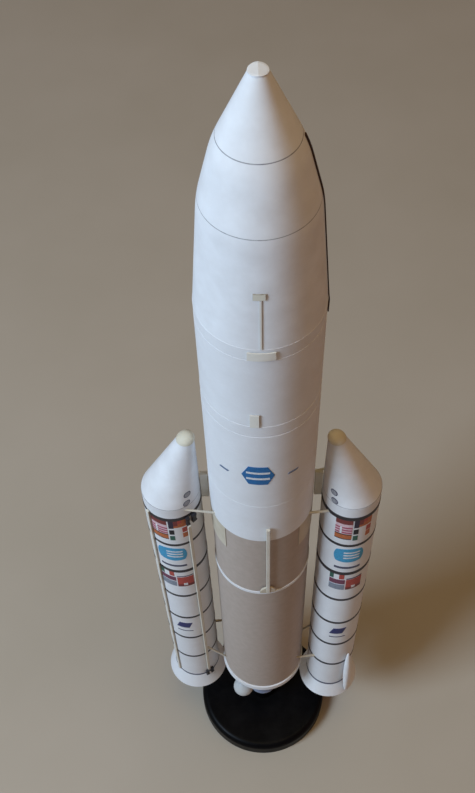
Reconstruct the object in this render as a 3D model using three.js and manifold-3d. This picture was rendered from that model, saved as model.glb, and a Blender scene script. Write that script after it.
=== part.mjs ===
// A card display model of a heavy space rocket with two strap-on boosters, on a round black stand.
// Millimetres, +Z up. The origin is the middle of the stand's underside.
// -Y is the front, +X is the side of the right booster. Angles are turned from the front towards +X.
import * as THREE from 'three';
import { mergeVertices } from 'three/addons/utils/BufferGeometryUtils.js';
import Module from 'manifold-3d';

const wasm = await Module();
wasm.setup();

// Driving dimensions
const SEAT_GAP = 0.3;            // clearance of a glued piece to the curved face that carries it
const STAND_RADIUS = 46.4;
const STAND_HEIGHT = 14;
const STAND_ROUNDING = 4.5;      // rounding of the stand's upper edge
const COLLAR_RADIUS = 8.6;       // round holder under the engine's mouth
const ENGINE_MOUTH_Z = 30;
const ENGINE_THROAT_Z = 74;
const ENGINE_MOUTH_RADIUS = 10.5;
const ENGINE_THROAT_RADIUS = 3.2;
const CORE_BASE_Z = 90;
const CORE_BASE_TOP_Z = 95;
const MID_RING_Z = 254.8;        // thin ring between the two card tubes of the core
const MID_RING_TOP_Z = 257.3;
const FORWARD_EDGE_Z = 322.5;    // lower edge of the white forward skirt
const FORWARD_TOP_Z = 360;
const JOINT_LOWER_Z = 425;       // lower stage joint band
const JOINT_UPPER_Z = 433.5;
const BAND_LOWER_Z = 482.5;      // band at the foot of the fairing
const BAND_UPPER_Z = 490;
const FAIRING_B_Z = 546.4;       // upper edge of the lower fairing cone
const FAIRING_A_Z = 571.7;       // lower edge of the nose cone
const NOSE_TOP_Z = 602.2;
const CAP_HEIGHT = 0.8;
const CORE_RADIUS = 27;
const LEDGE = 0.3;               // step where one paper sleeve starts below another
const RING_WALL = CORE_RADIUS + 0.5;
const SKIRT_WALL = CORE_RADIUS + 0.4;
const STAGE_WALL = CORE_RADIUS + 0.6;
const BAND_WALL = CORE_RADIUS + 0.7;
const FAIRING_B_RADIUS = 23.1;
const FAIRING_A_RADIUS = 17.1;
const NOSE_TOP_RADIUS = 3.4;
const PAD_THICKNESS = 0.5;
const BOOSTER_RADIUS = 15.6;
const BOOSTER_SKIRT_RADIUS = 20.4;
const BOOSTER_SKIRT_Z = 63.8;    // lower rim of the booster's flared skirt
const BOOSTER_TUBE_Z = 76;
const BOOSTER_NOSE_Z = 334;
const BOOSTER_TIP_Z = 380;
const BOOSTER_TIP_RADIUS = 4.4;
const BOOSTER_TIP_HEIGHT = 4.2;
const BOOSTER_TIP_STEP = 0.2;    // the tip's foot stands out this far from the nose
const BOOSTER_NOZZLE_DROP = 17.5; // how far the booster's nozzle hangs below its skirt
const NOSE_LEAN = 10.6;          // the nose's upper end leans towards the core
const STRUT_STEPS = 12;          // sides of a round piece: struts, small pieces, large tubes
const SMALL_STEPS = 40;
const ROUND_STEPS = 64;

// The left booster's axis, glued on a little askew: its places at the skirt's rim and at the nose's foot
const BOOSTER_FOOT = new THREE.Vector3(-47, 4.4, BOOSTER_SKIRT_Z);
const BOOSTER_HEAD = new THREE.Vector3(-47.6, 0.7, BOOSTER_NOSE_Z);
const NOSE_HEAD = new THREE.Vector3(BOOSTER_HEAD.x + NOSE_LEAN, BOOSTER_HEAD.y, BOOSTER_TIP_Z);

// Finishes: colour, roughness
const FINISHES = {
  paper: [0xeef1f6, 0.7],
  kraft: [0xa39a93, 0.85],
  cream: [0xe6dfc9, 0.75],
  black: [0x17171b, 0.6],
  stand: [0x0b0b0c, 0.35],
  metal: [0x9aa3b5, 0.5],
};

const model = new THREE.Group();

function addPiece(name, geometry, finish, x = 0, y = 0, z = 0) {
  const [color, roughness] = FINISHES[finish];
  const material = new THREE.MeshStandardMaterial({ color, roughness, metalness: 0 });
  const mesh = new THREE.Mesh(geometry, material);
  mesh.name = name;
  mesh.position.set(x, y, z);
  model.add(mesh);
  return mesh;
}

// A turned solid about the Z axis: [radius, height] pairs from the lower end of the axis to the upper end
function turned(profile, steps = ROUND_STEPS) {
  const points = profile.map(([radius, height]) => new THREE.Vector2(radius, height));
  const geometry = new THREE.LatheGeometry(points, steps);
  geometry.rotateX(Math.PI / 2);
  return geometry;
}

// A straight section of a tube or cone, closed by a flat disc at each end
function section(zLow, zHigh, radiusLow, radiusHigh, steps = ROUND_STEPS) {
  return turned([[0, zLow], [radiusLow, zLow], [radiusHigh, zHigh], [0, zHigh]], steps);
}

// A direction in plan: the angle is in degrees from the front (-Y) towards +X
function direction(angle) {
  const radians = THREE.MathUtils.degToRad(angle);
  return new THREE.Vector2(Math.sin(radians), -Math.cos(radians));
}

// A strip of a ring that follows a round wall: between two radii, two angles and two heights
function wallStrip(radiusIn, radiusOut, angleFrom, angleTo, zLow, zHigh, steps = 4) {
  const shape = new THREE.Shape();
  const corners = [];
  for (let i = 0; i <= steps; i += 1) {
    const angle = angleFrom + ((angleTo - angleFrom) * i) / steps;
    corners.push(direction(angle).multiplyScalar(radiusOut));
  }
  for (let i = steps; i >= 0; i -= 1) {
    const angle = angleFrom + ((angleTo - angleFrom) * i) / steps;
    corners.push(direction(angle).multiplyScalar(radiusIn));
  }
  shape.setFromPoints(corners);
  const geometry = new THREE.ExtrudeGeometry(shape, { depth: zHigh - zLow, bevelEnabled: false });
  geometry.translate(0, 0, zLow);
  return geometry;
}

// A flat bar that follows an outline of [radius, height] points, at one angle round the core
function outlineBar(points, width, angle) {
  const shape = new THREE.Shape(points.map(([radius, height]) => new THREE.Vector2(radius, height)));
  const geometry = new THREE.ExtrudeGeometry(shape, { depth: width, bevelEnabled: false });
  geometry.translate(0, 0, -width / 2);
  geometry.rotateX(Math.PI / 2);
  geometry.rotateZ(THREE.MathUtils.degToRad(angle - 90));
  return geometry;
}

// A round rod between two points, with a radius at each end
function rod(from, to, radiusFrom, radiusTo) {
  const span = new THREE.Vector3().subVectors(to, from);
  const geometry = section(0, span.length(), radiusFrom, radiusTo, STRUT_STEPS);
  const turn = new THREE.Quaternion().setFromUnitVectors(new THREE.Vector3(0, 0, 1), span.normalize());
  geometry.applyQuaternion(turn);
  geometry.translate(from.x, from.y, from.z);
  return geometry;
}

// Slides each level of an upright geometry sideways, so that its axis runs through two given points
function leaned(geometry, foot, head) {
  const rise = head.z - foot.z;
  const shear = new THREE.Matrix4().makeShear(0, 0, 0, 0, (head.x - foot.x) / rise, (head.y - foot.y) / rise);
  geometry.translate(0, 0, -foot.z);
  geometry.applyMatrix4(shear);
  geometry.translate(foot.x, foot.y, foot.z);
  return geometry;
}

function solidOf(geometry) {
  const bare = geometry.clone();
  bare.deleteAttribute('normal');
  bare.deleteAttribute('uv');
  const merged = mergeVertices(bare, 1e-4);
  const mesh = new wasm.Mesh({
    numProp: 3,
    vertProperties: new Float32Array(merged.attributes.position.array),
    triVerts: new Uint32Array(merged.index.array),
  });
  return new wasm.Manifold(mesh);
}

function geometryOf(solid) {
  const mesh = solid.getMesh();
  const geometry = new THREE.BufferGeometry();
  geometry.setAttribute('position', new THREE.BufferAttribute(mesh.vertProperties, 3));
  geometry.setIndex(new THREE.BufferAttribute(mesh.triVerts, 1));
  return geometry;
}

// A piece cut back by the walls that carry it
function cutBy(geometry, ...cutters) {
  return geometryOf(cutters.reduce((solid, cutter) => solid.subtract(solidOf(cutter)), solidOf(geometry)));
}

function joined(...geometries) {
  return geometryOf(geometries.map(solidOf).reduce((whole, next) => whole.add(next)));
}

// Radius of the paper wall on the fairing's cones at a height
function fairingRadius(height) {
  const corners = [
    [BAND_UPPER_Z, SKIRT_WALL],
    [FAIRING_B_Z, FAIRING_B_RADIUS],
    [FAIRING_A_Z, FAIRING_A_RADIUS],
    [NOSE_TOP_Z, NOSE_TOP_RADIUS],
  ];
  const upper = Math.max(1, corners.findIndex(([z]) => z >= height));
  const [zLow, radiusLow] = corners[upper - 1];
  const [zHigh, radiusHigh] = corners[upper];
  return radiusLow + ((radiusHigh - radiusLow) * (height - zLow)) / (zHigh - zLow);
}

// Stand: a black lid-like disc, with a round holder that the engine's mouth is glued to
function buildStand() {
  const profile = [[0, 0], [STAND_RADIUS, 0], [STAND_RADIUS, STAND_HEIGHT - STAND_ROUNDING]];
  const roundingSteps = 5;
  for (let i = 1; i <= roundingSteps; i += 1) {
    const turn = (Math.PI / 2) * (i / roundingSteps);
    const inward = STAND_ROUNDING * (1 - Math.cos(turn));
    const upward = STAND_ROUNDING * Math.sin(turn);
    profile.push([STAND_RADIUS - inward, STAND_HEIGHT - STAND_ROUNDING + upward]);
  }
  profile.push([0, STAND_HEIGHT]);
  addPiece('stand_base', turned(profile), 'stand');
  const collar = section(STAND_HEIGHT, ENGINE_MOUTH_Z, COLLAR_RADIUS, COLLAR_RADIUS, SMALL_STEPS);
  addPiece('stand_collar', collar, 'stand');
}

// Main engine: a bell below a thrust cone, and a ball tank beside it
function buildEngine() {
  const bell = [[0, ENGINE_MOUTH_Z], [ENGINE_MOUTH_RADIUS, ENGINE_MOUTH_Z]];
  const bellSteps = 8;
  for (let i = 1; i <= bellSteps; i += 1) {
    const along = i / bellSteps;
    const flare = (ENGINE_MOUTH_RADIUS - ENGINE_THROAT_RADIUS) * Math.sqrt(1 - along);
    const height = ENGINE_MOUTH_Z + along * (ENGINE_THROAT_Z - ENGINE_MOUTH_Z);
    bell.push([ENGINE_THROAT_RADIUS + flare, height]);
  }
  bell.push([0, ENGINE_THROAT_Z]);
  addPiece('engine_nozzle', turned(bell, SMALL_STEPS), 'metal');
  const coneFoot = 4.5;
  const coneHead = 11;
  addPiece('engine_mount', section(ENGINE_THROAT_Z, CORE_BASE_Z, coneFoot, coneHead, SMALL_STEPS), 'metal');

  const tankRadius = 6.9;
  const tankPlace = [-14.1, -20, 76];
  const tank = new THREE.SphereGeometry(tankRadius, SMALL_STEPS, SMALL_STEPS / 2);
  const stemRadius = 2;
  const stem = section(0, CORE_BASE_Z - tankPlace[2], stemRadius, stemRadius, STRUT_STEPS);
  addPiece('ball_tank', joined(tank, stem), 'paper', ...tankPlace);
}

// Core and fairing: one turned section above another
// columns: name, lower height, upper height, lower radius, upper radius, finish
const CORE_SECTIONS = [
  ['core_base_ring', CORE_BASE_Z, CORE_BASE_TOP_Z, CORE_RADIUS + 1, CORE_RADIUS + 1, 'paper'],
  ['core_lower_tube', CORE_BASE_TOP_Z, MID_RING_Z, CORE_RADIUS, CORE_RADIUS, 'kraft'],
  ['core_mid_ring', MID_RING_Z, MID_RING_TOP_Z, RING_WALL, RING_WALL, 'paper'],
  ['core_upper_tube', MID_RING_TOP_Z, FORWARD_EDGE_Z, CORE_RADIUS, CORE_RADIUS, 'kraft'],
  ['forward_skirt', FORWARD_EDGE_Z, FORWARD_TOP_Z, SKIRT_WALL, SKIRT_WALL, 'paper'],
  ['forward_tube', FORWARD_TOP_Z, JOINT_LOWER_Z, RING_WALL - LEDGE, RING_WALL, 'paper'],
  ['stage_joint_band', JOINT_LOWER_Z, JOINT_UPPER_Z, RING_WALL - LEDGE, STAGE_WALL, 'paper'],
  ['upper_stage_tube', JOINT_UPPER_Z, BAND_LOWER_Z, STAGE_WALL - LEDGE, RING_WALL, 'paper'],
  ['fairing_base_band', BAND_LOWER_Z, BAND_UPPER_Z, RING_WALL - LEDGE, BAND_WALL, 'paper'],
  ['fairing_lower', BAND_UPPER_Z, FAIRING_B_Z, SKIRT_WALL, FAIRING_B_RADIUS, 'paper'],
  ['fairing_middle', FAIRING_B_Z, FAIRING_A_Z, FAIRING_B_RADIUS, FAIRING_A_RADIUS, 'paper'],
  ['fairing_nose', FAIRING_A_Z, NOSE_TOP_Z, FAIRING_A_RADIUS, NOSE_TOP_RADIUS, 'paper'],
  ['fairing_cap', NOSE_TOP_Z, NOSE_TOP_Z + CAP_HEIGHT, NOSE_TOP_RADIUS + 0.2, NOSE_TOP_RADIUS, 'paper'],
];

function buildCore() {
  for (const [name, zLow, zHigh, radiusLow, radiusHigh, finish] of CORE_SECTIONS) {
    addPiece(name, section(zLow, zHigh, radiusLow, radiusHigh), finish);
  }
}

// Two curved pads on the front, which follow the round wall under them
// columns: name, wall radius, angle from, angle to, lower height, upper height
const ROUND_PADS = [
  ['pad_middle', BAND_WALL, -12, 12, 483.5, 488.5],
  ['pad_lower', STAGE_WALL, -10.7, -2.4, 434, 443.5],
];

// Straight bars up the fairing, each from the height where it starts to the height where it ends
// columns: name, angle, width, thickness, lower height, upper height, finish
const FAIRING_BARS = [
  ['pad_upper', -1.5, 4.8, PAD_THICKNESS, 518.3, 521.5, 'cream'],
  ['pad_rod', -0.4, 0.9, PAD_THICKNESS, 490.5, 517.9, 'paper'],
  ['fairing_strip', 90, 2.4, 0.7, 479.3, 575.3, 'black'],
];

// Small pieces glued to the front of the fairing and the upper stage, and the dark strip on its side
function buildFairingTrim() {
  for (const [name, wall, from, to, zLow, zHigh] of ROUND_PADS) {
    const radius = wall + SEAT_GAP;
    addPiece(name, wallStrip(radius, radius + PAD_THICKNESS, from, to, zLow, zHigh, 6), 'cream');
  }
  for (const [name, angle, width, thickness, zLow, zHigh, finish] of FAIRING_BARS) {
    const folds = [BAND_UPPER_Z, FAIRING_B_Z, FAIRING_A_Z];
    const kinks = folds.filter((height) => height > zLow && height < zHigh);
    const inner = [zLow, ...kinks, zHigh].map((height) => {
      const wall = height > BAND_UPPER_Z ? fairingRadius(height) : BAND_WALL;
      return [wall + SEAT_GAP, height];
    });
    const outer = inner.map(([radius, height]) => [radius + thickness, height]).reverse();
    addPiece(name, outlineBar([...inner, ...outer], width, angle), finish);
  }
}

// Fuel line cover down the front of the core, with two small round feet at its lower end
function buildFrontRaceway() {
  const wall = RING_WALL + SEAT_GAP;
  const thickness = 1.5;
  const footThickness = 1.1;
  const [from, to] = [3.9, 7.6];
  const [zLow, zHigh] = [259.5, 337.2];
  const middle = (from + to) / 2;
  const footHeight = 6.5;
  const footSpread = 9.2;        // degrees from the middle of the cover to the outer end of a foot
  const footSteps = 5;
  const feet = [];
  for (const side of [-1, 1]) {
    for (let i = 0; i < footSteps; i += 1) {
      const stepLow = zLow + (footHeight * i) / footSteps;
      const stepHigh = zLow + (footHeight * (i + 1)) / footSteps;
      const reach = middle + side * footSpread * Math.sqrt(1 - (i / footSteps) ** 2);
      const [stepFrom, stepTo] = [Math.min(middle, reach), Math.max(middle, reach)];
      feet.push(wallStrip(wall, wall + footThickness, stepFrom, stepTo, stepLow, stepHigh, 3));
    }
  }
  const bar = wallStrip(wall, wall + thickness, from, to, zLow, zHigh, 2);
  addPiece('front_raceway', joined(bar, ...feet), 'cream');
}

// Everything of one booster is made for the left one.
// The right booster is the same set of pieces turned half a turn about the core's axis.
const BOOSTERS = [
  { side: 'left', turn: 0 },
  { side: 'right', turn: Math.PI },
];

function addBoosterPiece(booster, name, geometry, finish) {
  const placed = geometry.clone();
  placed.rotateZ(booster.turn);
  addPiece(`${name}_${booster.side}`, placed, finish);
}

// A geometry made round the Z axis, moved onto the left booster's leaning axis
function atBooster(geometry) {
  return leaned(geometry, BOOSTER_FOOT, BOOSTER_HEAD);
}

// Tube, flared skirt, nose cone that leans towards the core, and its rounded tip
function buildBoosterBody(add) {
  const tube = section(BOOSTER_TUBE_Z, BOOSTER_NOSE_Z, BOOSTER_RADIUS, BOOSTER_RADIUS);
  add('booster_tube', atBooster(tube), 'paper');
  const skirt = section(BOOSTER_SKIRT_Z, BOOSTER_TUBE_Z, BOOSTER_SKIRT_RADIUS, BOOSTER_RADIUS);
  add('aft_skirt', atBooster(skirt), 'paper');
  const nose = section(BOOSTER_NOSE_Z, BOOSTER_TIP_Z, BOOSTER_RADIUS, BOOSTER_TIP_RADIUS);
  add('booster_nose', leaned(nose, BOOSTER_HEAD, NOSE_HEAD), 'paper');

  const tipRadius = BOOSTER_TIP_RADIUS + BOOSTER_TIP_STEP;
  const tip = [[0, BOOSTER_TIP_Z], [tipRadius, BOOSTER_TIP_Z]];
  const tipSteps = 6;
  for (let i = 1; i < tipSteps; i += 1) {
    const turn = (Math.PI / 2) * (i / tipSteps);
    tip.push([tipRadius * Math.cos(turn), BOOSTER_TIP_Z + BOOSTER_TIP_HEIGHT * Math.sin(turn)]);
  }
  tip.push([0, BOOSTER_TIP_Z + BOOSTER_TIP_HEIGHT]);
  add('booster_tip', leaned(turned(tip, SMALL_STEPS), BOOSTER_HEAD, NOSE_HEAD), 'cream');
}

// Nozzle bell under the booster's skirt, open below
function buildBoosterNozzle(add) {
  const wall = 0.9;
  const ceiling = 2.5;
  const topRadius = 7;
  const waistRadius = 9.2;
  const mouthRadius = 11.2;
  const mouthZ = BOOSTER_SKIRT_Z - BOOSTER_NOZZLE_DROP;
  const waistZ = mouthZ + 8;
  const bell = [
    [0, BOOSTER_SKIRT_Z - ceiling],
    [topRadius - 1.5, BOOSTER_SKIRT_Z - ceiling],
    [waistRadius, waistZ],
    [mouthRadius - wall, mouthZ],
    [mouthRadius, mouthZ],
    [waistRadius + wall, waistZ],
    [topRadius, BOOSTER_SKIRT_Z],
    [0, BOOSTER_SKIRT_Z],
  ];
  add('booster_nozzle', atBooster(turned(bell, SMALL_STEPS)), 'metal');
}

// Two long cable covers on the booster's tube, and small black fittings beside the ends of the inner one
// columns: name, angle from, angle to, lower height, upper height, thickness, finish
const WALL_PIECES = [
  ['raceway_outer', -52.5, -46, 79, 326, 1, 'cream'],
  ['raceway_inner', 29, 35.4, 84, 313, 1, 'cream'],
  ['fitting_upper_a', 26.5, 34, 316.5, 323.5, 1.8, 'black'],
  ['fitting_upper_b', 39, 49, 316.5, 323.5, 1.8, 'black'],
  ['fitting_lower_a', 23.5, 31.5, 76.4, 83, 1.8, 'black'],
  ['fitting_lower_b', 36, 44, 76.4, 83, 1.8, 'black'],
];

function buildBoosterTrim(add) {
  const wall = BOOSTER_RADIUS + SEAT_GAP;
  for (const [name, from, to, zLow, zHigh, thickness, finish] of WALL_PIECES) {
    add(name, atBooster(wallStrip(wall, wall + thickness, from, to, zLow, zHigh, 2)), finish);
  }
}

// Spindle-shaped pod on the outer side: it leans on the tube above and on the skirt below
function buildBoosterPod(add) {
  const podRadius = 2.4;
  const podAngle = -145;
  const [footZ, headZ] = [66.5, 131];
  const [footReach, headReach] = [20, 17.4];
  const profile = [[0, footZ]];
  const steps = 12;
  for (let i = 1; i < steps; i += 1) {
    const along = i / steps;
    profile.push([podRadius * Math.sqrt(Math.sin(Math.PI * along)), footZ + (headZ - footZ) * along]);
  }
  profile.push([0, headZ]);
  const foot = new THREE.Vector3(...direction(podAngle).multiplyScalar(footReach), footZ);
  const head = new THREE.Vector3(...direction(podAngle).multiplyScalar(headReach), headZ);
  const pod = leaned(turned(profile, 2 * STRUT_STEPS), foot, head);
  add('booster_pod', atBooster(pod), 'paper');
}

// Struts between booster and core, whose ends are cut to the two tubes
// columns: name, booster end x, y, z and radius, core end x, y, z and radius
const STRUTS = [
  ['strut_upper_front', -40.8, -12.5, 331.1, 0.65, -22.6, -11.1, 323.7, 0.65],
  ['strut_upper_rear', -37.2, 10, 322.4, 0.8, -22.6, 11.2, 321.7, 0.6],
  ['strut_lower_front', -38.4, -8.6, 124.8, 0.7, -24.6, -8.7, 103.9, 0.7],
  ['strut_lower_rear', -36.7, 12.7, 116.3, 1.1, -20.6, 14.2, 115.5, 0.5],
];

// What joins booster and core: a plate on edge, the struts, and a card patch round the core
function buildAttachment(add) {
  const boosterReach = BOOSTER_RADIUS + 0.2;
  const [cutLow, cutMiddle, cutHigh] = [80, 200, 350];
  const boosterCut = atBooster(section(cutLow, cutHigh, boosterReach, boosterReach));
  const coreSide = -(RING_WALL + SEAT_GAP);
  const boosterSide = BOOSTER_HEAD.x + BOOSTER_RADIUS + SEAT_GAP;
  const [plateLow, plateHigh] = [324, 347];
  const plateThickness = 2.4;
  const plate = new THREE.BoxGeometry(coreSide - boosterSide, plateThickness, plateHigh - plateLow);
  plate.translate((coreSide + boosterSide) / 2, 0, (plateLow + plateHigh) / 2);
  add('forward_plate', cutBy(plate, boosterCut), 'cream');

  const patchThickness = 0.5;
  const patchWall = CORE_RADIUS + SEAT_GAP;
  const patchTop = FORWARD_EDGE_Z - SEAT_GAP;
  const [patchFrom, patchTo, patchLow] = [-134.5, -45.5, 300.2];
  const patch = wallStrip(patchWall, patchWall + patchThickness, patchFrom, patchTo, patchLow, patchTop, 20);
  add('attachment_patch', patch, 'cream');

  const lowerCut = section(cutLow, cutMiddle, patchWall, patchWall);
  const upperReach = patchWall + patchThickness + SEAT_GAP;
  const upperCut = section(cutMiddle, cutHigh, upperReach, upperReach);
  for (const [name, x0, y0, z0, radius0, x1, y1, z1, radius1] of STRUTS) {
    const bar = rod(new THREE.Vector3(x0, y0, z0), new THREE.Vector3(x1, y1, z1), radius0, radius1);
    add(name, cutBy(bar, lowerCut, upperCut, boosterCut), 'cream');
  }
}

function buildBooster(booster) {
  const add = (name, geometry, finish) => addBoosterPiece(booster, name, geometry, finish);
  buildBoosterBody(add);
  buildBoosterNozzle(add);
  buildBoosterTrim(add);
  buildBoosterPod(add);
  buildAttachment(add);
}

buildStand();
buildEngine();
buildCore();
buildFairingTrim();
buildFrontRaceway();
BOOSTERS.forEach(buildBooster);

export default model;
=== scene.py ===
"""Looks of a card display model of a space rocket with two strap-on boosters, glued on a round black stand.

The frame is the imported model's: +Z up, -Y the front, +X the right booster's side, origin under the stand.
Shapes are worked out in millimetres and put into the meshes in metres. Angles are in degrees, turned from
the front towards +X. Both boosters are one set of pieces: the right one is the left one turned half a turn.
"""

import bpy
import numpy as np
from mathutils import Matrix, Vector


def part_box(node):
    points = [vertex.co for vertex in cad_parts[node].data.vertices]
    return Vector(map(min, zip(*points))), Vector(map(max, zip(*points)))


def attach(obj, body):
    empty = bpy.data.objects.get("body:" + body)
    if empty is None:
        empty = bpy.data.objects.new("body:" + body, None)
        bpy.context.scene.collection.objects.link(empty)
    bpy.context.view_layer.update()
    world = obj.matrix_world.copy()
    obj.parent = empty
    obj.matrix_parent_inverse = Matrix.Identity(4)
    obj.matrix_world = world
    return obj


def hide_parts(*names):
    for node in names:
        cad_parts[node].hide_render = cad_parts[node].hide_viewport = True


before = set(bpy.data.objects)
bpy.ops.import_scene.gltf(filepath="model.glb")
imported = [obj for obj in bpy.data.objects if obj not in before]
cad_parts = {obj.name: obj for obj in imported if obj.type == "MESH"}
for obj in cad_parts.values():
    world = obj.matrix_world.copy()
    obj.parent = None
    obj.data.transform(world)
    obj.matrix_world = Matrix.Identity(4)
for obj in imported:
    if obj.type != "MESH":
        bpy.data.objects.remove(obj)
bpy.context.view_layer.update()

MM = 0.001  # metres in a millimetre

# Sizes in millimetres
CARD_LAP = 0.18  # step where a rolled sheet's end laps over its start
CARD_EDGE = 0.12  # rounding of a cut card edge
BLOCK_EDGE = 0.2  # rounding of the blocks, plates and long covers
PRINT_LIFT = 0.05  # each printed layer stands this far off the one below
PRINT_DEPTH = 0.25  # and reaches this far into its wall
BADGE_EDGE = 0.01  # rounding of a printed badge's edge
SEAT_GAP = 0.3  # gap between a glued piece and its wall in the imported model
TRIM_LIFT = 0.05  # the flat trim and the card patches lie this close to their wall

ROUND_COLUMNS = 145  # points round a large tube
BACK = 180.0  # degrees: the core's seam faces away from the front
SHARP_ANGLE = 40.0  # degrees: an edge bent by more than this is shaded sharp

# Colours that several finishes share, as sRGB hex codes
WHITE = "eceef2"
WHITE_SHADE = "e2e3e6"
CREAM_SHADE = "d0c9b9"
BURNT_EDGE = "6f6252"
# LINE_GREY colours the thin printed lines; on the upper fairing line it is also painted shadow
LINE_GREY = "5a5a62"


def linear(code):
    """An sRGB hex colour as linear red, green, blue and alpha, by a 2.4 power curve over 0.04045."""
    parts = np.array([int(code[i:i + 2], 16) for i in (0, 2, 4)]) / 255
    bright = ((parts + 0.055) / 1.055) ** 2.4
    return (*np.where(parts > 0.04045, bright, parts / 12.92), 1.0)


def darkened(code, share):
    """An sRGB hex colour with its red, green and blue each cut to a share."""
    return "".join(f"{int(int(code[i:i + 2], 16) * share):02x}" for i in (0, 2, 4))


# Surfaces: a body is a list of grids (rows, columns, 4): x, y, z in mm and how far a point is a cut edge

def direction(angle):
    """Unit vector in plan for an angle turned from the front towards +X: its sine and minus its cosine."""
    turn = np.radians(angle)
    return np.stack([np.sin(turn), -np.cos(turn)], -1)


def corner_arc(centre_radius, centre_height, rounding, start, steps=3):
    """Points of a quarter circle in the (radius, height) plane, from the start angle up by 90 degrees."""
    turn = np.radians(np.linspace(start, start + 90, steps + 1))
    return np.stack([centre_radius + rounding * np.cos(turn), centre_height + rounding * np.sin(turn)], -1)


def sleeve_profile(radius_low, radius_high, low, high, edge=CARD_EDGE):
    """Half outline of a tube or cone: from the axis round the lower edge, up the wall, back to the axis."""
    lower = corner_arc(radius_low - edge, low + edge, edge, -90)
    upper = corner_arc(radius_high - edge, high - edge, edge, 0)
    outline = np.concatenate([[[0, low]], lower, upper, [[0, high]]])
    cut = np.concatenate([[0], np.ones(len(lower)), np.ones(len(upper)), [0]])
    return np.column_stack([outline, cut])


def core_axis(height):
    """The core's axis: x and y are 0 at every height."""
    return 0.0 * height, 0.0 * height


def straight_axis(foot, head):
    """An axis through two points: its x and y change evenly with the height between them and past them."""
    foot, head = np.asarray(foot, float), np.asarray(head, float)

    def at(height):
        share = (height - foot[2]) / (head[2] - foot[2])
        return foot[0] + share * (head[0] - foot[0]), foot[1] + share * (head[1] - foot[1])
    return at


def turned(profile, axis=core_axis, seam=None, columns=ROUND_COLUMNS):
    """A profile of (radius, height, cut) as level circles about an axis.

    With a seam the radius grows evenly by one card's thickness over the turn and steps back at the seam.
    """
    profile = np.asarray(profile, float)
    radius, height = profile[:, :1], profile[:, 1:2]
    cut = profile[:, 2:3] if profile.shape[1] > 2 else np.zeros_like(radius)
    share = np.linspace(0, 1, columns)
    angle = 360 * share
    lap = np.zeros(columns)
    if seam is not None:
        angle = np.append(seam + angle, seam + 360)
        lap = np.append(CARD_LAP * (1 - share), CARD_LAP)
    reach = np.maximum(radius - np.where(radius > 0, lap, 0), 0)
    across, depth = direction(angle).T
    middle_x, middle_y = axis(height)
    spread = np.ones_like(reach)
    return np.stack([middle_x + reach * across, middle_y + reach * depth, height * spread, cut * spread], -1)


def edged(stations, height, edge):
    """Stations across a block with a rounded upper edge at both ends, and the block's height at each.

    At an end the side rises straight to the rounding and then follows a quarter circle.
    """
    stations = np.asarray(stations, float)
    turn = np.radians([0, 30, 60, 90])
    inward = np.concatenate([[0], edge * (1 - np.cos(turn))])
    rise = np.concatenate([[0], height - edge + edge * np.sin(turn)])
    middle = stations[1:-1]
    places = np.concatenate([stations[0] + inward, middle, (stations[-1] - inward)[::-1]])
    rises = np.concatenate([rise, np.full(len(middle), height), rise[::-1]])
    return places, rises


def slab(place, across, along, lift, height, edge):
    """A closed block laid on a wall by place(across, along, lift).

    Its base lies on the wall, and the lift over it at a point is the lower of the two edge profiles there.
    The rounding is kept to 0.45 of the height.
    """
    edge = min(edge, 0.45 * height)
    u, rise_u = edged(across, height, edge)
    v, rise_v = edged(along, height, edge)
    along_grid, across_grid = np.meshgrid(v, u, indexing="ij")
    rise = np.minimum(rise_v[:, None], rise_u[None, :])
    cut = (rise < height - 1e-9).astype(float)
    top = np.concatenate([place(across_grid, along_grid, lift + rise), cut[..., None]], -1)
    base = np.concatenate([place(across_grid, along_grid, lift + 0 * rise), cut[..., None]], -1)
    return [top, base[::-1]]


def on_wall(radius, axis=core_axis, facing=0.0):
    """Lays (across, height, lift) on a round wall about an axis.

    The angle from the facing direction is across over the wall's radius; the reach is the radius plus lift.
    """
    def place(across, height, lift):
        wall = radius(height) if callable(radius) else np.full(np.shape(height), float(radius))
        out = wall + lift
        turn = np.radians(facing) + across / wall
        middle_x, middle_y = axis(height)
        return np.stack([middle_x + out * np.sin(turn), middle_y - out * np.cos(turn), height + 0 * out], -1)
    return place


def patch(place, left, right, low, high, layer=1):
    """A printed rectangle: a very thin block from inside the wall to its layer, a column per millimetre."""
    columns = max(2, int(abs(right - left)) + 1)
    return slab(place, np.linspace(left, right, columns), [low, high], -PRINT_DEPTH,
                PRINT_DEPTH + layer * PRINT_LIFT, PRINT_LIFT)


def badge(place, middle, half_width, half_height, roundness=0.0, slant=0.0, taper=0.0, layer=1):
    """A printed shape: a square of u and v from -1 to 1, bent on the wall.

    Across is u times the half width, less a share of v squared that rounds the corners (a full share gives
    an oval), less the taper's share of |v|, plus the slant times v. Up is v times the half height, rounded
    likewise.
    """
    def bent(u, v, lift):
        across = half_width * u * np.sqrt(1 - roundness * v ** 2 / 2) * (1 - taper * np.abs(v)) + slant * v
        up = half_height * v * np.sqrt(1 - roundness * u ** 2 / 2)
        return place(middle[0] + across, middle[1] + up, lift)
    stations = np.linspace(-1, 1, 13)
    return slab(bent, stations, stations, -PRINT_DEPTH, PRINT_DEPTH + layer * PRINT_LIFT, BADGE_EDGE)


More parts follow.
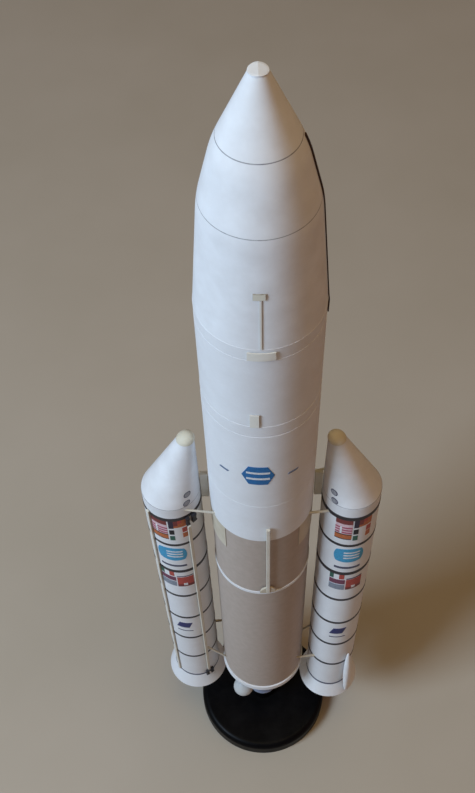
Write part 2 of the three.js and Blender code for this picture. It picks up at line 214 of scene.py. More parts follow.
def rod(start, end, radius_start, radius_end, columns=17):
    """A round rod: circles about the line from start to end, whose radius changes evenly.

    Both ends are rounded by a quarter circle of 0.3 of the thinner radius.
    """
    start, end = np.asarray(start, float), np.asarray(end, float)
    length = np.linalg.norm(end - start)
    ahead = (end - start) / length
    side = np.cross(ahead, [0, 0, 1])
    side /= np.linalg.norm(side)
    up = np.cross(side, ahead)
    rounding = 0.3 * min(radius_start, radius_end)
    turn = np.radians([0, 30, 60, 90])
    inward = rounding * (1 - np.sin(turn))
    along = rounding * (1 - np.cos(turn))
    reach = np.concatenate([[0], radius_start - inward, (radius_end - inward)[::-1], [0]])
    travel = np.concatenate([[0], along, length - along[::-1], [length]])
    angle = np.linspace(0, 2 * np.pi, columns)
    ring = np.cos(angle)[:, None] * up + np.sin(angle)[:, None] * side
    points = start + travel[:, None, None] * ahead + reach[:, None, None] * ring
    return np.concatenate([points, np.zeros(points.shape[:2] + (1,))], -1)


def half_turn(body):
    """The same body turned half a turn about the core's axis: x and y change sign."""
    return [grid * (-1, -1, 1, 1) for grid in body]


def skin(body, shells):
    """Points, cut-edge values, faces and each face's grid: a quad between each four neighbours of a grid.

    Points at one place in one shell become one, so seams and poles close. A quad that loses one corner by
    that is a triangle. shells numbers each grid's shell.
    """
    points, quads, tints, shell_of_point, start = [], [], [], [], 0
    for index, grid in enumerate(body):
        rows, columns = grid.shape[:2]
        row, column = np.meshgrid(np.arange(rows - 1), np.arange(columns - 1), indexing="ij")
        corner = start + row * columns + column
        around = np.stack([corner, corner + 1, corner + columns + 1, corner + columns], -1)
        quads.append(around.reshape(-1, 4))
        tints.append(np.full(len(quads[-1]), index))
        points.append(grid.reshape(-1, 4))
        shell_of_point.append(np.full(rows * columns, shells[index]))
        start += rows * columns
    points, quads, tints = np.concatenate(points), np.concatenate(quads), np.concatenate(tints)
    places = np.column_stack([np.round(points[:, :3], 5) + 0.0, np.concatenate(shell_of_point)])
    _, first, index = np.unique(places, axis=0, return_index=True, return_inverse=True)
    quads = index.ravel()[quads]
    lost = quads == np.roll(quads, -1, axis=1)
    whole = lost.sum(1) == 0
    pinched = lost.sum(1) == 1
    triangles = quads[pinched][~lost[pinched]].reshape(-1, 3)
    faces = [quads[whole], triangles]
    return points[first, :3], points[first, 3], faces, np.concatenate([tints[whole], tints[pinched]])


def add_object(name, data):
    """A new object in the scene."""
    made = bpy.data.objects.new(name, data)
    bpy.context.scene.collection.objects.link(made)
    return made


def add_piece(name, body, materials, slot=None, replaces=(), tint_of_grid=None, shells=None):
    """A shown piece: the body's skin as one mesh that rides on the root body and replaces its CAD nodes."""
    points, cut, faces, grid_of_face = skin(body, shells or [0] * len(body))
    mesh = bpy.data.meshes.new(name)
    mesh.vertices.add(len(points))
    mesh.vertices.foreach_set("co", (points * MM).astype(np.float32).ravel())
    sizes = np.concatenate([np.full(len(group), group.shape[1]) for group in faces])
    corners = np.concatenate([group.ravel() for group in faces])
    mesh.loops.add(len(corners))
    mesh.loops.foreach_set("vertex_index", corners.astype(np.int32))
    mesh.polygons.add(len(sizes))
    mesh.polygons.foreach_set("loop_start", (np.cumsum(sizes) - sizes).astype(np.int32))
    if tint_of_grid is not None:
        mesh.polygons.foreach_set("material_index", np.asarray(tint_of_grid)[grid_of_face].astype(np.int32))
    mesh.update(calc_edges=True)
    mesh.shade_smooth()
    mesh.set_sharp_from_angle(angle=np.radians(SHARP_ANGLE))
    mesh.attributes.new("cut_edge", "FLOAT", "POINT").data.foreach_set("value", cut.astype(np.float32))
    for material in materials:
        mesh.materials.append(material)
    piece = add_object(name, mesh)
    piece.modifiers.new("even shading", "WEIGHTED_NORMAL").keep_sharp = True
    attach(piece, "root")
    if replaces:
        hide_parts(*replaces)


# Materials: node helpers, then the effects that several finishes share, then the finishes

def feed(tree, socket, value):
    """Link a socket to the output that feeds it, or give it a plain value."""
    if isinstance(value, bpy.types.NodeSocket):
        tree.links.new(value, socket)
    else:
        socket.default_value = value


def add_node(tree, kind, inputs=None, **settings):
    """One node of a tree; inputs maps a socket's name or place to what feeds it."""
    made = tree.nodes.new(kind)
    for key, value in settings.items():
        setattr(made, key, value)
    for key, value in (inputs or {}).items():
        feed(tree, made.inputs[key], value)
    return made


def math_node(tree, operation, first, second=0.0, third=0.0, clamp=False):
    """The output of one Math node."""
    return add_node(tree, "ShaderNodeMath", {0: first, 1: second, 2: third},
                    operation=operation, use_clamp=clamp).outputs[0]


def mixed(tree, share, first, second):
    """The output of a colour mix from the first to the second."""
    return add_node(tree, "ShaderNodeMix", {0: share, 6: first, 7: second}, data_type="RGBA").outputs[2]


def new_group(name, inputs, outputs):
    """A shader node group with float inputs (name, value) and float outputs, and its two end nodes."""
    tree = bpy.data.node_groups.new(name, "ShaderNodeTree")
    for label, value in inputs:
        tree.interface.new_socket(label, in_out="INPUT", socket_type="NodeSocketFloat").default_value = value
    for label in outputs:
        tree.interface.new_socket(label, in_out="OUTPUT", socket_type="NodeSocketFloat")
    return tree, tree.nodes.new("NodeGroupInput"), tree.nodes.new("NodeGroupOutput")


def noise(tree, vector, scale, detail=2.0, roughness=0.5):
    """The value of a noise texture, 0 to 1."""
    inputs = {"Vector": vector, "Scale": scale, "Detail": detail, "Roughness": roughness}
    return add_node(tree, "ShaderNodeTexNoise", inputs).outputs[0]


def spread(tree, value, low, high, new_low=0.0, new_high=1.0, **settings):
    """The part of a value from low to high, spread evenly from the new low to the new high."""
    inputs = {"Value": value, "From Min": low, "From Max": high, "To Min": new_low, "To Max": new_high}
    return add_node(tree, "ShaderNodeMapRange", inputs, **settings).outputs[0]


def object_place(tree, stretch=(1.0, 1.0, 1.0)):
    """Object coordinates, stretched along the axes."""
    place = add_node(tree, "ShaderNodeTexCoord").outputs["Object"]
    return add_node(tree, "ShaderNodeMapping", {"Vector": place, "Scale": stretch}).outputs[0]


def make_card_grain():
    """Fibre height, mottling and flecks of a sheet of card: two noises, the fibres drawn out along Z."""
    tree, given, out = new_group("card_grain", [("Fibre Scale", 1600.0), ("Mottle Scale", 90.0)],
                                 ["Height", "Mottle", "Fleck"])
    fibre = noise(tree, object_place(tree, (1.0, 1.0, 0.35)), given.outputs["Fibre Scale"], 4.0, 0.65)
    slow = noise(tree, object_place(tree), given.outputs["Mottle Scale"], 3.0, 0.55)
    height = math_node(tree, "MULTIPLY_ADD", slow, 0.5, fibre)
    tree.links.new(height, out.inputs["Height"])
    tree.links.new(spread(tree, slow, 0.32, 0.68), out.inputs["Mottle"])
    tree.links.new(spread(tree, fibre, 0.42, 0.72), out.inputs["Fleck"])
    return tree


def make_print_and_shadow_line():
    """Mask of a thin dark line round a piece, print and on the fairing's upper line also painted shadow: 1
    within half its width of its height, less a noise.
    """
    inputs = [("Line Height", 0.0), ("Line Width", 0.0003), ("Break Up", 0.3)]
    tree, given, out = new_group("print_and_shadow_line", inputs, ["Mask"])
    place = add_node(tree, "ShaderNodeTexCoord").outputs["Object"]
    height = add_node(tree, "ShaderNodeSeparateXYZ", {"Vector": place}).outputs["Z"]
    apart = math_node(tree, "ABSOLUTE", math_node(tree, "SUBTRACT", height, given.outputs["Line Height"]))
    half = math_node(tree, "MULTIPLY", given.outputs["Line Width"], 0.5)
    soft = math_node(tree, "MULTIPLY", given.outputs["Line Width"], 0.75)
    line = spread(tree, apart, half, soft, 1.0, 0.0, interpolation_type="SMOOTHSTEP")
    worn = noise(tree, place, 420.0, 2.0)
    gaps = math_node(tree, "MULTIPLY", given.outputs["Break Up"], worn, clamp=True)
    tree.links.new(math_node(tree, "SUBTRACT", line, gaps, clamp=True), out.inputs["Mask"])
    return tree


def make_cut_edge():
    """Mask of the cut edges of card, from the piece's own attribute, thinned by a noise."""
    tree, given, out = new_group("cut_edge", [("Amount", 1.0)], ["Mask"])
    edge = add_node(tree, "ShaderNodeAttribute", attribute_name="cut_edge").outputs["Fac"]
    uneven = spread(tree, noise(tree, object_place(tree), 700.0, 3.0), 0.3, 0.6, 0.55)
    amount = math_node(tree, "MULTIPLY", edge, given.outputs["Amount"])
    tree.links.new(math_node(tree, "MULTIPLY", amount, uneven, clamp=True), out.inputs["Mask"])
    return tree


def make_dust():
    """Dust that settles on what faces up: the upward share of the normal, cubed, times a patchy noise."""
    tree, given, out = new_group("dust", [("Amount", 0.3), ("Patch Scale", 60.0)], ["Mask"])
    normal = add_node(tree, "ShaderNodeNewGeometry").outputs["Normal"]
    upward = add_node(tree, "ShaderNodeSeparateXYZ", {"Vector": normal}).outputs["Z"]
    facing = math_node(tree, "POWER", math_node(tree, "MAXIMUM", upward, 0.0), 3.0)
    patches = spread(tree, noise(tree, object_place(tree), given.outputs["Patch Scale"], 5.0, 0.7), 0.4, 0.75)
    amount = math_node(tree, "MULTIPLY", facing, given.outputs["Amount"])
    tree.links.new(math_node(tree, "MULTIPLY", amount, patches, clamp=True), out.inputs["Mask"])
    return tree


GROUPS = {"card_grain": make_card_grain(), "print_and_shadow_line": make_print_and_shadow_line(),
          "cut_edge": make_cut_edge(), "dust": make_dust()}


def use_group(tree, name, **inputs):
    """One of the shared effects, placed in a material with its own values."""
    made = add_node(tree, "ShaderNodeGroup", node_tree=GROUPS[name])
    for label, value in inputs.items():
        made.inputs[label.replace("_", " ")].default_value = value
    return made.outputs


def new_material(name):
    """An empty node material and its tree."""
    material = bpy.data.materials.new(name)
    material.use_nodes = True
    return material, material.node_tree


def bumped(tree, height, strength, depth):
    """The normal that a height gives, with the depth of its relief in mm."""
    inputs = {"Strength": strength, "Distance": depth * MM, "Height": height}
    return add_node(tree, "ShaderNodeBump", inputs).outputs[0]


def dress(tree, colour, roughness, normal, gloss):
    """Feed a material's Principled BSDF."""
    shader = tree.nodes["Principled BSDF"]
    inputs = {"Base Color": colour, "Roughness": roughness, "Normal": normal, "Specular IOR Level": gloss}
    for key, value in inputs.items():
        feed(tree, shader.inputs[key], value)


def card(name, light, dark, roughness=0.62, bump=0.25, fibre=1600.0, mottle=90.0, fleck=0.0,
         edge_colour=None, edge_amount=0.5, lines=(), gloss=0.35):
    """A sheet of card: two tones by its mottling, flecks, toned cut edges, thin dark lines and a fibre bump.

    lines holds (height in mm, width in mm, break up) for each thin dark ring: print, and on the fairing's
    upper ring also painted shadow.
    """
    material, tree = new_material(name)
    grain = use_group(tree, "card_grain", Fibre_Scale=fibre, Mottle_Scale=mottle)
    colour = mixed(tree, grain["Mottle"], linear(light), linear(dark))
    if fleck:
        share = math_node(tree, "MULTIPLY", grain["Fleck"], fleck)
        colour = mixed(tree, share, colour, linear(dark))
    if edge_colour:
        edge = use_group(tree, "cut_edge", Amount=edge_amount)["Mask"]
        colour = mixed(tree, edge, colour, linear(edge_colour))
    for height, width, break_up in lines:
        line = use_group(tree, "print_and_shadow_line", Line_Height=height * MM, Line_Width=width * MM, Break_Up=break_up)
        colour = mixed(tree, line["Mask"], colour, linear(LINE_GREY))
    rough = math_node(tree, "MULTIPLY_ADD", grain["Fleck"], 0.08, roughness)
    dress(tree, colour, rough, bumped(tree, grain["Height"], bump, 0.05), gloss)
    return material


def stand_gloss(name):
    """Black polished disc: turned marks times smears give roughness and relief, with a little grey dust."""
    material, tree = new_material(name)
    place = object_place(tree)
    away = add_node(tree, "ShaderNodeVectorMath", {0: place}, operation="LENGTH").outputs["Value"]
    ring = add_node(tree, "ShaderNodeCombineXYZ", {"X": away}).outputs[0]
    turned_marks = noise(tree, ring, 2600.0, 2.0)
    smears = noise(tree, object_place(tree, (1.0, 0.4, 1.0)), 45.0, 4.0, 0.6)
    marks = math_node(tree, "MULTIPLY", turned_marks, smears)
    rough = spread(tree, marks, 0.1, 0.45, 0.34, 0.5)
    dust = use_group(tree, "dust", Amount=0.02, Patch_Scale=70.0)["Mask"]
    colour = mixed(tree, dust, linear("060608"), linear("8d8a86"))
    dress(tree, colour, rough, bumped(tree, marks, 0.08, 0.03), 0.08)
    return material


def floor_finish(name):
    """Plain pale floor with a very faint grain."""
    material, tree = new_material(name)
    grain = use_group(tree, "card_grain", Fibre_Scale=900.0, Mottle_Scale=6.0)
    colour = mixed(tree, grain["Mottle"], linear("bdb3a5"), linear("b8ae9f"))
    dress(tree, colour, 0.8, bumped(tree, grain["Height"], 0.05, 0.1), 0.2)
    return material


def box_mm(node):
    """Lowest and highest corner of a CAD node in mm."""
    low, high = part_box(node)
    return np.array(low) / MM, np.array(high) / MM


def upright(node):
    """Lower height, upper height and radius of an upright round node; its radius is half its width in x."""
    low, high = box_mm(node)
    return low[2], high[2], (high[0] - low[0]) / 2


def lower_circle(node):
    """Centre and radius of a round node's lower end, above which it only narrows or leans towards +X."""
    low, high = box_mm(node)
    radius = (high[1] - low[1]) / 2
    return np.array([low[0] + radius, (low[1] + high[1]) / 2, low[2]]), radius


# Heights of the thin dark lines in mm: just over the folds of the fairing and the foot of a booster's nose.
# They are print; the upper fairing line is also painted shadow at the nose's lower edge.
LOWER_LINE = 547.7
UPPER_LINE = 576.2
NOSE_LINE = upright("booster_nose_left")[0] + 0.3

# Each finish has a lighter and a darker tone, as sRGB hex codes
FINISH = {
    "white": card("white_card", WHITE, WHITE_SHADE, edge_colour=WHITE_SHADE, edge_amount=0.6),
    # the upper fairing line is print and also painted shadow at the nose's slightly overhanging lower edge
    "fairing": card("fairing_card", WHITE, WHITE_SHADE,
                    lines=[(UPPER_LINE, 0.32, 0.6), (LOWER_LINE, 0.3, 0.65)]),
    "booster_nose": card("booster_nose_card", WHITE, WHITE_SHADE, lines=[(NOSE_LINE, 0.3, 0.6)]),
    "kraft": card("kraft_card", "b9aba1", "b2a499", roughness=0.78, bump=0.22, fibre=1500.0, mottle=260.0,
                  fleck=0.3, gloss=0.2),
    "cream": card("cream_card", "ddd8cc", CREAM_SHADE, roughness=0.7, edge_colour=CREAM_SHADE,
                  edge_amount=0.6),
    "cream_burnt": card("cream_card_dark_edge", "dfdccf", "d3cfc0", roughness=0.7, edge_colour=BURNT_EDGE,
                        edge_amount=0.8),
    "pad": card("pale_pad", "ebe9e2", "e2ded2", roughness=0.7, edge_colour=BURNT_EDGE, edge_amount=0.25),
    "rod": card("rod_card", "e6e5e1", "dcdad4", edge_colour=BURNT_EDGE, edge_amount=0.3),
    "cover": card("cover_card", "e2dfd6", "d8d3c5", roughness=0.7, edge_colour="cfc8b6", edge_amount=0.6),
    "tip": card("booster_tip_card", "e2dccb", "d6cfbb", roughness=0.6),
    # the patch finish also paints shade on the rear lower strut, which is cream card like the other struts
    "patch": card("patch_card", "cdc3b1", "c1b6a2", roughness=0.78, bump=0.4, gloss=0.2),
    "ball": card("ball_card", "c8caca", "bdc0c1", roughness=0.6),
    "pod": card("pod_card", "f0f1f3", "e8e8ea", roughness=0.5),
    "strip": card("strip_card", "3a2522", "2a1b1a", roughness=0.6, fibre=1300.0, edge_colour="4a302a"),
    "black": card("black_card", "1b1a20", "25242b", roughness=0.5, fibre=1300.0, edge_colour="3a383e"),
    "engine": card("engine_card", "98a1b8", "7d869d", roughness=0.45, edge_colour="c3cad8"),
    "stand": stand_gloss("stand_gloss_black"),
}

# Inks of the printed panels and plain marks; the darker tone is a share of this one
INK_SHADE = 0.88
INKS = {
    "dark_red": "823b3b", "navy": "302942", "pink": "e6c6cd", "magenta": "b04d68", "orange": "c46f42",
    "ink_black": "1e1c27", "green": "336658", "red": "bd4f48", "purple": "79435c", "grey_blue": "8d96a6",
    "sky": "42a4d3", "blue": "1f6fae", "deep_blue": "2a3470", "slate": "51556a", "pale": "e9ecef",
    "grey": "a6a8b0", "rule_blue": "6d7f9c",
}
for ink, code in INKS.items():
    FINISH[ink] = card("ink_" + ink, code, darkened(code, INK_SHADE), roughness=0.5, bump=0.2, mottle=900.0,
                       fleck=0.2, gloss=0.3)


# Core and fairing

# columns: node, finish, record slot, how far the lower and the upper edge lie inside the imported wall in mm
SLEEVES = [
    ("core_base_ring", "white", "paper", 0, 0),
    ("core_lower_tube", "kraft", "kraft", 0, 0),
    ("core_mid_ring", "white", "paper", 0, 0),
    ("core_upper_tube", "kraft", "kraft", 0, 0),
    ("forward_skirt", "white", "paper", 0, 0),
    ("forward_tube", "white", "paper", 0.15, 0),
    ("stage_joint_band", "white", "paper", 0.22, 0.1),
    ("upper_stage_tube", "white", "paper", 0.12, 0),
    ("fairing_base_band", "white", "paper", 0.3, 0.2),
]
CONES = ["fairing_lower", "fairing_middle", "fairing_nose", "fairing_cap"]
FOLD_EASE = 5.0  # each fold of the fairing is eased over this far on both sides
CAP_DROOP = 0.6  # how far the cap's halves slope down from its crease, as a share of its height


def fairing_wall(height):
    """Radius of the fairing at a height: straight between the cones' ends, and eased at the two folds.

    Near a fold the change of slope there is added, times the square of how far the height is inside the
    ease, over four times the ease.
    """
    heights, _, radii = np.array([upright(node) for node in CONES]).T
    slopes = np.diff(radii) / np.diff(heights)
    wall = np.interp(height, heights, radii)
    for fold, bend in zip(heights[1:3], np.diff(slopes)):
        wall = wall + bend * np.maximum(FOLD_EASE - np.abs(height - fold), 0) ** 2 / (4 * FOLD_EASE)
    return wall


def build_core():
    """Turned card sleeves and cones, one above another, each with its glue seam at the back."""
    for node, finish, slot, lower_inset, upper_inset in SLEEVES:
        low, high, radius = upright(node)
        body = [turned(sleeve_profile(radius - lower_inset, radius - upper_inset, low, high), seam=BACK)]
        add_piece(node + "_card", body, [FINISH[finish]], slot, [node])
    for node in CONES[:3]:
        low, high, _ = upright(node)
        height = np.unique(np.concatenate([np.linspace(low, min(low + FOLD_EASE, high), 9),
                                           np.linspace(max(high - FOLD_EASE, low), high, 9)]))
        wall = np.column_stack([fairing_wall(height), height, 0 * height])
        profile = np.concatenate([[[0, low, 0]], wall, [[0, high, 0]]])
        add_piece(node + "_card", [turned(profile, seam=BACK)], [FINISH["fairing"]], "paper", [node])
    build_cap()


def build_cap():
    """Small flat cap, creased from front to back: each half slopes down evenly from crease to side."""
    low, high, radius = upright("fairing_cap")
    share = np.array([0, 1, 1, 0.95, 0.7, 0.45, 0.2, 0])
    height = np.array([0, 0, 0.85, 1, 1, 1, 1, 1])
    cap = turned(np.column_stack([share * radius, low + height * (high - low), 0 * share]))
    droop = 1 - CAP_DROOP * np.abs(cap[..., 0]) / radius
    cap[..., 2] = low + (cap[..., 2] - low) * droop
    add_piece("fairing_cap_card", [cap], [FINISH["white"]], "paper", ["fairing_cap"])


PAD_CLEARANCE = 0.1  # how far the lowest pad stays off the upper stage's lapped sheet
# columns: node, finish, record slot, facing angle, half its width in mm, thickness, stations across
FRONT_TRIM = [
    ("pad_upper", "cream_burnt", "cream", -1.5, 2.4, 0.5, 3),
    ("pad_rod", "rod", "paper", -0.4, 0.45, 0.35, 2),
    ("pad_middle", "pad", "cream", 0.0, 5.8, 0.5, 9),
    ("pad_lower", "pad", "cream", -6.55, 2.04, 0.5, 5),
    ("fairing_strip", "strip", "black", 90.0, 0.7, 0.55, 2),
]


def trim_wall(height):
    """Radius that the trim is glued to: the upper stage's, over it the fairing band's, then the fairing's."""
    band_low, band_high, band = upright("fairing_base_band")
    stage = upright("upper_stage_tube")[2] + PAD_CLEARANCE
    return np.where(height < band_low, stage, np.where(height < band_high, band, fairing_wall(height)))


def build_fairing_trim():
    """Small flat blocks and a rod glued on the front, and the dark strip down the fairing's side."""
    folds = np.array([[upright(node)[0]] for node in CONES[:3]])
    bends = (folds + FOLD_EASE * np.array([-1, -0.5, 0, 0.5, 1])).ravel()
    for node, finish, slot, facing, half_width, thickness, stations in FRONT_TRIM:
        low, high = box_mm(node)
        inner = bends[(bends > low[2]) & (bends < high[2])]
        heights = [low[2], *inner, high[2]]
        across = np.linspace(-half_width, half_width, stations)
        body = slab(on_wall(trim_wall, facing=facing), across, heights, TRIM_LIFT, thickness, CARD_EDGE)
        add_piece(node + "_card", body, [FINISH[finish]], slot, [node])


RACEWAY_FACING = 5.75
RACEWAY_HALF_TURN = 1.85  # half its width, in degrees round the wall
RACEWAY_THICKNESS = 1.5
FOOT_HALF_TURN = 9.2
FOOT_HEIGHT = 6.5
FOOT_THICKNESS = 1.05


def build_front_raceway():
    """Fuel line cover down the front, with a half-round foot on each side of its lower end.

    A foot's reach is a half circle's: the root of one less the square of the height over the foot's height.
    """
    wall = upright("core_mid_ring")[2]
    low, high = box_mm("front_raceway")
    place = on_wall(wall, facing=RACEWAY_FACING)
    half = np.radians(RACEWAY_HALF_TURN) * wall
    body = slab(place, [-half, half], [low[2], high[2]], SEAT_GAP, RACEWAY_THICKNESS, BLOCK_EDGE)

    def foot_place(across, along, lift):
        reach = np.sqrt(np.clip(1 - (along / FOOT_HEIGHT) ** 2, 0, 1))
        return place(across * reach, low[2] + along, lift)
    half = np.radians(FOOT_HALF_TURN) * wall
    along = FOOT_HEIGHT * np.sin(np.radians(np.linspace(0, 90, 10)))
    body += slab(foot_place, np.linspace(-half, half, 9), along, SEAT_GAP, FOOT_THICKNESS, BLOCK_EDGE)
    add_piece("front_raceway_cover", body, [FINISH["cover"], FINISH["patch"]], "cream", ["front_raceway"],
              tint_of_grid=[0, 0, 1, 1], shells=[0, 0, 1, 1])


# Engine and stand

THROAT_RADIUS = 3.2
RIBS = 7  # raised rings round the bell
RIB_START = 0.03  # share of the bell's height under the lowest one
RIB_HEIGHT = 0.16
LIP_ROUNDING = 0.3  # of the bell's rolled lip
LIP_HEIGHT = 0.9
WALL_START = 1.1  # the wall begins this far over the mouth
THRUST_CONE_RADIUS = 4.5
STEM_RADIUS = 2.0
STAND_ROUNDING = 4.5  # rounding of the stand's upper edge
STAND_CHAMFER = 0.8  # and chamfer of its foot
FLAT_MARGIN = 2.0  # points this far inside the rounding keep the top's shading flat
HOLDER_EDGE = 0.4


def build_engine_bell():
    """Bell with raised rings and a rolled lip.

    Its radius grows with the root of the way down, and each ring is the fourth power of a sine's upper half.
    """
    low, high, mouth = upright("engine_nozzle")
    share = np.linspace(0, 1, 60)[:-1]
    radius = THROAT_RADIUS + (mouth - THROAT_RADIUS) * np.sqrt(1 - share)
    ribs = RIB_HEIGHT * np.clip(np.sin(share * 2 * RIBS * np.pi), 0, 1) ** 4 * (share > RIB_START)
    wall = np.column_stack([radius - RIB_HEIGHT + ribs, low + share * (high - low), 0 * share])
    lip = [[0, low, 0], [mouth - LIP_ROUNDING, low, 1], [mouth, low + LIP_ROUNDING, 1],
           [mouth, low + LIP_HEIGHT, 1]]
    over_lip = wall[wall[:, 1] > low + WALL_START]
    bell = np.concatenate([lip, over_lip, [[THROAT_RADIUS, high, 0], [0, high, 0]]])
    add_piece("engine_bell", [turned(bell, columns=97)], [FINISH["engine"]], "metal", ["engine_nozzle"])


def build_engine():
    """The bell, the thrust cone above it, and the ball tank: a ball with a stem from its top."""
    build_engine_bell()
    low, high, radius = upright("engine_mount")
    cone = turned(sleeve_profile(THRUST_CONE_RADIUS, radius, low, high), columns=97)
    add_piece("engine_thrust_cone", [cone], [FINISH["engine"]], "metal", ["engine_mount"])
    low, high = box_mm("ball_tank")
    radius = (high[0] - low[0]) / 2
    turn = np.radians(np.linspace(-90, 90 - np.degrees(np.arcsin(STEM_RADIUS / radius)), 32))
    ball = np.column_stack([radius * np.cos(turn), low[2] + radius + radius * np.sin(turn)])
    ball[0, 0] = 0
    profile = np.concatenate([ball, [[STEM_RADIUS, high[2]], [0, high[2]]]])
    middle = (low + high) / 2
    tank = turned(profile, straight_axis(middle - (0, 0, 1), middle), columns=65)
    add_piece("ball_tank_ball", [tank], [FINISH["ball"]], "paper", ["ball_tank"])


def build_stand():
    """Black disc with a chamfered foot and a rounded upper edge, and the round holder under the engine."""
    low, high, radius = upright("stand_base")
    foot = [[0, low], [radius - STAND_CHAMFER, low], [radius, low + STAND_CHAMFER]]
    flat = radius - STAND_ROUNDING
    edge = corner_arc(flat, high - STAND_ROUNDING, STAND_ROUNDING, 0, steps=12)
    profile = np.concatenate([foot, edge, [[flat - FLAT_MARGIN, high], [0, high]]])
    add_piece("stand_disc", [turned(profile, columns=193)], [FINISH["stand"]], "stand", ["stand_base"])
    low, high, radius = upright("stand_collar")
    holder = turned(sleeve_profile(radius, radius, low, high, HOLDER_EDGE), columns=97)
    add_piece("stand_holder", [holder], [FINISH["stand"]], "stand", ["stand_collar"])


# Printed marks

def add_marks(name, marks):
    """A set of printed patches as one piece: each mark is an ink's name and a patch's grids."""
    inks = sorted({ink for ink, _ in marks})
    body = [grid for _, grids in marks for grid in grids]
    ink_of_grid = [inks.index(ink) for ink, grids in marks for _ in grids]
    shell_of_grid = [index for index, (_, grids) in enumerate(marks) for _ in grids]
    add_piece(name, body, [FINISH[ink] for ink in inks], None, (), ink_of_grid, shell_of_grid)


def badges(place, rows):
    """Marks of a table of badges.

    Its columns are the ink, the place across and up in mm, and the half width, half height, roundness,
    slant, taper and layer that badge takes.
    """
    return [(ink, badge(place, (across, height), *shape)) for ink, across, height, *shape in rows]


CORE_BADGE_FACING = -4.1
# columns: see badges
CORE_BADGES = [
    ("blue", 0, 390.8, 7.9, 8.0, 0, 0, 0.42, 1),
    ("pale", 0, 388.2, 5.6, 0.8, 0, 0, 0, 2),
    ("pale", 0, 393.4, 5.6, 0.8, 0, 0, 0, 2),
    ("rule_blue", -17.5, 388.0, 2.6, 0.6, 0, 0.4, 0, 1),
    ("rule_blue", 17.5, 388.0, 2.6, 0.6, 0, 0.4, 0, 1),
]


def build_core_marks():
    """Plain blue badge on the core's front, two pale bands across it and a thin rule at each side."""
    place = on_wall(upright("forward_tube")[2], facing=CORE_BADGE_FACING)
    add_marks("core_marks", badges(place, CORE_BADGES))


# Boosters

BOOSTER_FOOT, SKIRT_RADIUS = lower_circle("aft_skirt_left")
BOOSTER_HEAD, BOOSTER_RADIUS = lower_circle("booster_nose_left")
NOSE_HEAD, TIP_RADIUS = lower_circle("booster_tip_left")
NOSE_TOP_RADIUS = TIP_RADIUS - 0.2  # the tip stands out a little over the nose
booster_axis = straight_axis(BOOSTER_FOOT, BOOSTER_HEAD)
nose_axis = straight_axis(BOOSTER_HEAD, NOSE_HEAD)

# columns: lower edge of a printed ring, its height, its ink
RINGS = [(321.9, 3.2, "black"), (291.9, 2.3, "black"), (256.3, 3.2, "black"), (220.3, 2.3, "black"),
         (185.2, 2.3, "black"), (149.9, 2.3, "black"), (114.1, 2.3, "black"), (76.1, 2.0, "slate")]
RING_THICKNESS = 0.1
RING_EDGE = 0.03  # rounding of a ring's edges
RING_DEPTH = 0.3  # how far a ring reaches into the tube
BOOSTER_SEAM = 90.0  # degrees: the seams face the core
COVER_THICKNESS = 1.0
FITTING_THICKNESS = 1.8
# columns: node, angle from, angle to
COVERS = [("raceway_outer", -52.5, -46.0), ("raceway_inner", 29.0, 35.4)]
FITTINGS = [("fitting_upper_a", 26.5, 34.0), ("fitting_upper_b", 39.0, 49.0),
            ("fitting_lower_a", 23.5, 31.5), ("fitting_lower_b", 36.0, 44.0)]
# columns: node, finish, booster end x, y, z and radius, core end x, y, z and radius
STRUTS = [
    ("strut_upper_front", "cream", -40.8, -12.5, 331.1, 0.65, -22.6, -11.1, 323.7, 0.65),
    ("strut_upper_rear", "cream", -37.2, 10.0, 322.4, 0.8, -22.6, 11.2, 321.7, 0.6),
    ("strut_lower_front", "cream", -38.4, -8.6, 124.8, 0.7, -24.6, -8.7, 103.9, 0.7),
    # the rear lower strut is cream card like the others; its darker patch finish is painted shade, as it lies
    # in shade between booster and core
    ("strut_lower_rear", "patch", -36.7, 12.7, 116.3, 1.1, -20.6, 14.2, 115.5, 0.5),
]
PATCH_HALF_TURN = 44.5  # half the card patch's width, in degrees round the core
PATCH_THICKNESS = 0.25
# Each booster carries the same printed panels in front and behind, from these base angles on
PANEL_BASES = [-45.5, 146.6]
# columns: ink, angle from, angle to, lower height, upper height, layer
PANELS = [
    ("dark_red", 0, 34.5, 317.4, 321.8, 1),
    ("pink", 0, 34.5, 306.6, 317.4, 1),
    ("magenta", 0, 34.5, 312.9, 314.3, 2),
    ("magenta", 0, 34.5, 310.2, 311.6, 2),
    ("magenta", 0, 34.5, 307.5, 308.9, 2),
    ("pale", 10, 14, 307.2, 314.6, 3),
    ("ink_black", 0, 34.5, 305.6, 306.6, 1),
    ("orange", 0, 34.5, 301.2, 305.6, 1),
    ("ink_black", 0, 34.5, 300.4, 301.2, 1),
    ("navy", 37.5, 47.5, 313.6, 321.8, 1),
    ("ink_black", 37.5, 47.5, 306.4, 311.6, 1),
    ("green", 37.5, 47.5, 299.4, 304.6, 1),
    ("orange", 47.5, 75, 314.2, 321.8, 1),
    ("dark_red", 47.5, 56, 316.4, 321.8, 2),
    ("red", 56, 64, 318.6, 321.8, 2),
    ("red", 64, 75, 307.4, 312.6, 1),
    ("orange", 64, 75, 301.2, 306.4, 1),
    ("green", 0, 9, 250.4, 256.2, 1),
    ("red", 21, 32, 250.4, 256.2, 1),
    ("purple", 0, 34.5, 243.8, 249.2, 1),
    ("grey_blue", 0, 34.5, 236.3, 242.8, 1),
    ("slate", 37, 73, 249.9, 251.0, 1),
    ("red", 37, 73, 236.3, 249.2, 1),
    ("dark_red", 37, 73, 236.3, 239.4, 2),
    ("pale", 50, 58.5, 238.0, 240.8, 3),
]
BADGE_ANGLE = 34.9  # degrees from a panel base to the middle of its badges
